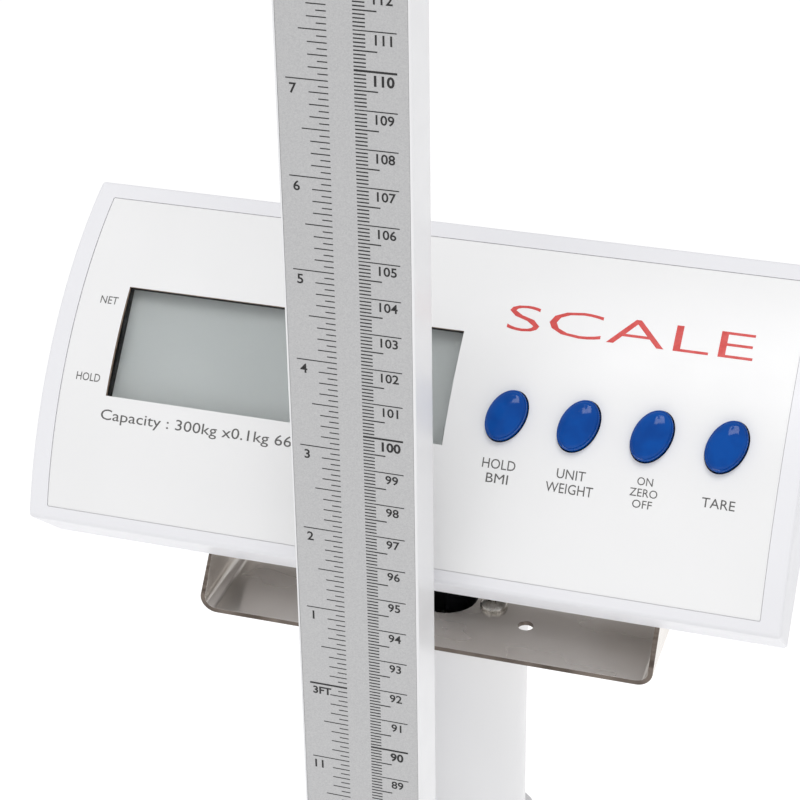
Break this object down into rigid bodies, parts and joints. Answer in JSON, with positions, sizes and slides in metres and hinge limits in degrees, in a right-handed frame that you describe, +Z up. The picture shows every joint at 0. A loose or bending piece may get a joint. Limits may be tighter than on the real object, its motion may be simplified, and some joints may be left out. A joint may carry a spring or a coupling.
{
  "type": "column scale with height rod",
  "caption": "Electronic column scale: standing platform, round column, tilting display head with domed push buttons, and a printed height mast with sliding headpiece.",
  "frame": {"origin": "centre of the bounding box at floor level", "axes": "+Z up along the mast, -Y the side that the display and the standing mat face, +X to the right of a reader who faces the display"},
  "size_m": [0.38, 0.53, 2.0783],
  "materials": {
    "white_paint": "satin white powder coat",
    "mat_rubber": "ribbed",
    "bright_steel": "brushed",
    "cell_aluminium": "machined",
    "strip_aluminium": "fine sparkling silver film",
    "foot_rubber": "moulded",
    "grey_plastic": "fine texture",
    "clear": "clear",
    "white_plastic": "satin",
    "overlay_film": "printed film",
    "lcd": "grey liquid crystal",
    "board": "solder mask",
    "keypad_rubber": "moulded",
    "blue_button": "glossy dome",
    "black_plastic": "moulded"
  },
  "bodies": {
    "base": {"deck_cover": "white_paint", "column_foot": "white_paint", "column_tube": "white_paint", "mast_lower": "white_paint", "mast_upper": "white_paint", "mast_clamp_lower": "white_paint", "mast_clamp_upper": "white_paint", "deck_mat": "mat_rubber", "frame_rail_left": "bright_steel", "frame_rail_right": "bright_steel", "frame_rail_front": "bright_steel", "frame_rail_rear": "bright_steel", "cross_member_front": "bright_steel", "column_beam": "bright_steel", "wheel_bracket_left": "bright_steel", "wheel_bracket_right": "bright_steel", "wheel_axle": "bright_steel", "column_cap": "bright_steel", "head_bracket": "bright_steel", "bracket_screw_left": "bright_steel", "bracket_screw_right": "bright_steel", "load_cell_front_left": "cell_aluminium", "load_cell_front_right": "cell_aluminium", "load_cell_rear_left": "cell_aluminium", "load_cell_rear_right": "cell_aluminium", "mast_joint": "cell_aluminium", "scale_strip_lower": "strip_aluminium", "scale_strip_upper": "strip_aluminium", "cable_grommet": "foot_rubber", "signal_cable": "foot_rubber", "junction_box": "grey_plastic", "mast_foot": "grey_plastic", "mast_cap": "grey_plastic", "bubble_level": "clear"},
    "foot_front_left": {"levelling_foot_front_left": "foot_rubber"},
    "foot_front_right": {"levelling_foot_front_right": "foot_rubber"},
    "foot_rear_left": {"levelling_foot_rear_left": "foot_rubber"},
    "foot_rear_right": {"levelling_foot_rear_right": "foot_rubber"},
    "wheel_left": {"transport_wheel_left": "foot_rubber"},
    "wheel_right": {"transport_wheel_right": "foot_rubber"},
    "head": {"front_shell": "white_plastic", "rear_shell": "white_plastic", "panel_overlay": "overlay_film", "display_window": "clear", "lcd_module": "lcd", "main_board": "board", "keypad": "keypad_rubber", "battery_holder": "black_plastic", "power_jack": "black_plastic", "pivot_screw_left": "bright_steel", "pivot_screw_right": "bright_steel"},
    "hold_button": {"button_hold": "blue_button"},
    "unit_button": {"button_unit": "blue_button"},
    "power_button": {"button_power": "blue_button"},
    "tare_button": {"button_tare": "blue_button"},
    "battery_hatch": {"battery_door": "white_plastic"},
    "slider": {"carriage": "white_plastic", "headpiece_pin": "bright_steel"},
    "measuring_arm": {"headpiece": "white_plastic"},
    "brake": {"brake_knob": "black_plastic"}
  },
  "joints": [
    {"name": "level_front_left", "type": "slide", "parent": "base", "child": "foot_front_left", "axis": [0, 0, -1], "range_m": [0, 0.012]},
    {"name": "level_front_right", "type": "slide", "parent": "base", "child": "foot_front_right", "axis": [0, 0, -1], "range_m": [0, 0.012]},
    {"name": "level_rear_left", "type": "slide", "parent": "base", "child": "foot_rear_left", "axis": [0, 0, -1], "range_m": [0, 0.012]},
    {"name": "level_rear_right", "type": "slide", "parent": "base", "child": "foot_rear_right", "axis": [0, 0, -1], "range_m": [0, 0.012]},
    {"name": "wheel_left_spin", "type": "hinge", "parent": "base", "child": "wheel_left", "pos_m": [-0.11, 0.247, 0.022], "axis": [1, 0, 0], "continuous": true},
    {"name": "wheel_right_spin", "type": "hinge", "parent": "base", "child": "wheel_right", "pos_m": [0.11, 0.247, 0.022], "axis": [1, 0, 0], "continuous": true},
    {"name": "head_tilt", "type": "hinge", "parent": "base", "child": "head", "pos_m": [0, 0.1764, 0.984], "axis": [1, 0, 0], "range_deg": [-10, 20]},
    {"name": "press_hold", "type": "slide", "parent": "head", "child": "hold_button", "axis": [0, 0.7766, -0.63], "range_m": [0, 0.0012], "stiffness_N_per_m": 1500},
    {"name": "press_unit", "type": "slide", "parent": "head", "child": "unit_button", "axis": [0, 0.7766, -0.63], "range_m": [0, 0.0012], "stiffness_N_per_m": 1500},
    {"name": "press_power", "type": "slide", "parent": "head", "child": "power_button", "axis": [0, 0.7766, -0.63], "range_m": [0, 0.0012], "stiffness_N_per_m": 1500},
    {"name": "press_tare", "type": "slide", "parent": "head", "child": "tare_button", "axis": [0, 0.7766, -0.63], "range_m": [0, 0.0012], "stiffness_N_per_m": 1500},
    {"name": "battery_hatch_slide", "type": "slide", "parent": "head", "child": "battery_hatch", "axis": [0, -0.161, -0.987], "range_m": [0, 0.012]},
    {"name": "carriage_slide", "type": "slide", "parent": "base", "child": "slider", "axis": [0, 0, 1], "range_m": [-1.15, 0.205]},
    {"name": "arm_fold", "type": "hinge", "parent": "slider", "child": "measuring_arm", "pos_m": [0, 0.0729, 1.828], "axis": [-1, 0, 0], "range_deg": [0, 88]},
    {"name": "brake_turn", "type": "hinge", "parent": "slider", "child": "brake", "pos_m": [0.031, 0.0949, 1.85], "axis": [1, 0, 0], "range_deg": [0, 120]}
  ]
}
